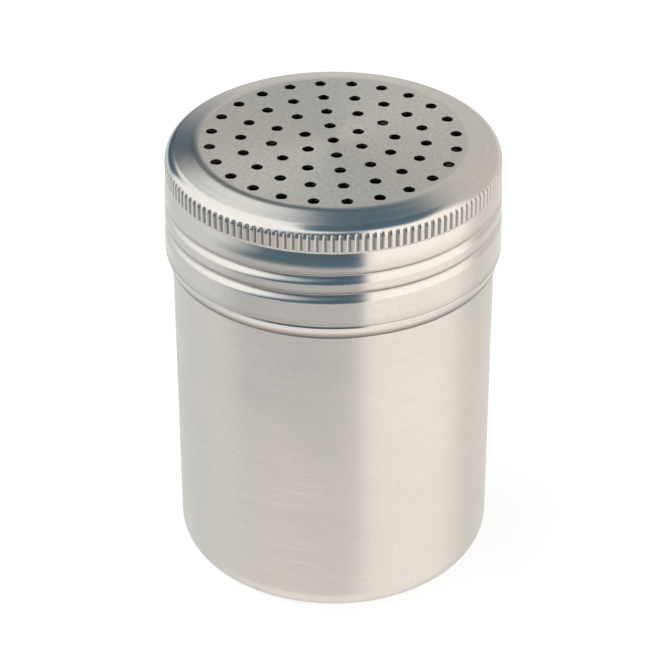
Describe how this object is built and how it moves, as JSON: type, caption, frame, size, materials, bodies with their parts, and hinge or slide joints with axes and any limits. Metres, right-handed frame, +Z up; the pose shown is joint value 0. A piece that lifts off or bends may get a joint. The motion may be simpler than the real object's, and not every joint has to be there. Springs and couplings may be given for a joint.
{
  "type": "spice shaker",
  "caption": "Straight round stainless steel shaker: a drawn cup with a threaded neck, and a knurled screw lid with a flat perforated top for sifting spice, sugar or flour.",
  "frame": {"origin": "middle of the cup's foot, on the plane it stands on", "axes": "+Z up along the cup's axis, through the lid; +X and +Y are the two level directions, and the front faces -Y"},
  "size_m": [0.0694, 0.0694, 0.0953],
  "materials": {
    "cup_steel": "satin stainless steel, fine lines round the wall, bright soft reflections",
    "lid_steel": "satin stainless steel, slightly brighter on the rolled edges, matt perforated plate"
  },
  "bodies": {
    "cup": {"cup": "cup_steel"},
    "lid": {"lid": "lid_steel"}
  },
  "joints": [
    {"name": "lid_lift", "type": "slide", "parent": "cup", "child": "lid", "axis": [0, 0, 1], "range_m": [0, 0.04]}
  ]
}
